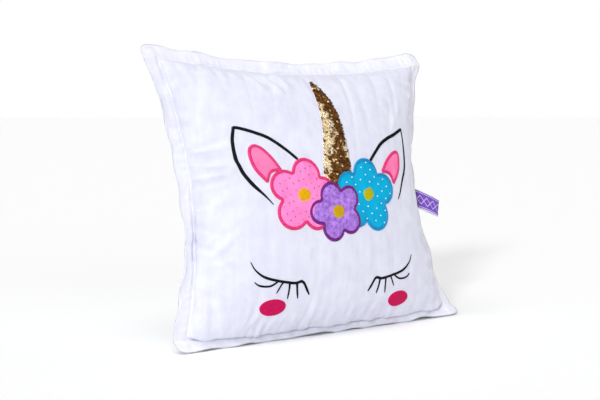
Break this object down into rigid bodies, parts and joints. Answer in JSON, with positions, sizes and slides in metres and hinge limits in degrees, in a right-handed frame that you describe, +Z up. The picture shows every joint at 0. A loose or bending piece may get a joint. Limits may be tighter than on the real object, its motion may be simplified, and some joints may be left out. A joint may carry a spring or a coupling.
{
  "type": "plush unicorn face cushion",
  "caption": "Rectangular stuffed plush cushion with a flat border and a sleeping unicorn face of sewn-on patches and embroidery, and a folded side label.",
  "frame": {"origin": "middle of the base that it stands on, under the middle of the bounding box", "axes": "+X to the viewer's right across the face, -Y out of the face, +Z up; the cushion leans back by 10.4 degrees"},
  "size_m": [0.4498, 0.1467, 0.3549],
  "materials": {
    "white_plush": "short-pile plush, slightly napped",
    "fibre_fill": "loose polyester fibre",
    "white_thread": "satin polyester thread",
    "black_thread": "satin stitch",
    "pink_plush": "short-pile plush with small glitter dots",
    "pink_thread": "satin stitch",
    "blue_plush": "short-pile plush with white dots",
    "blue_thread": "satin stitch",
    "purple_velvet": "crushed velvet",
    "purple_thread": "satin stitch",
    "yellow_thread": "satin stitch",
    "cheek_thread": "fill stitch",
    "gold_sequin": "metallised gold film discs",
    "purple_woven": "woven satin ribbon"
  },
  "bodies": {
    "cushion": {"front_cover": "white_plush", "back_cover": "white_plush", "filling": "fibre_fill", "border_topstitch": "white_thread", "closing_seam": "white_thread", "horn_patch": "gold_sequin", "horn_edge_stitch": "white_thread", "pink_flower_patch": "pink_plush", "pink_flower_border": "pink_thread", "pink_flower_heart": "yellow_thread", "blue_flower_patch": "blue_plush", "blue_flower_border": "blue_thread", "blue_flower_heart": "yellow_thread", "purple_flower_patch": "purple_velvet", "purple_flower_border": "purple_thread", "purple_flower_heart": "yellow_thread", "left_ear_outline": "black_thread", "right_ear_outline": "black_thread", "left_inner_ear_patch": "pink_plush", "left_inner_ear_border": "pink_thread", "right_inner_ear_patch": "pink_plush", "right_inner_ear_border": "pink_thread", "left_eye_embroidery": "black_thread", "right_eye_embroidery": "black_thread", "left_cheek": "cheek_thread", "right_cheek": "cheek_thread"},
    "label": {"label": "purple_woven"}
  },
  "joints": [
    {"name": "label_flap", "type": "hinge", "parent": "cushion", "child": "label", "pos_m": [0.18918, 0.00374, 0.15644], "axis": [-0.0492, 0.1801, 0.9824], "range_deg": [-70, 90]}
  ]
}
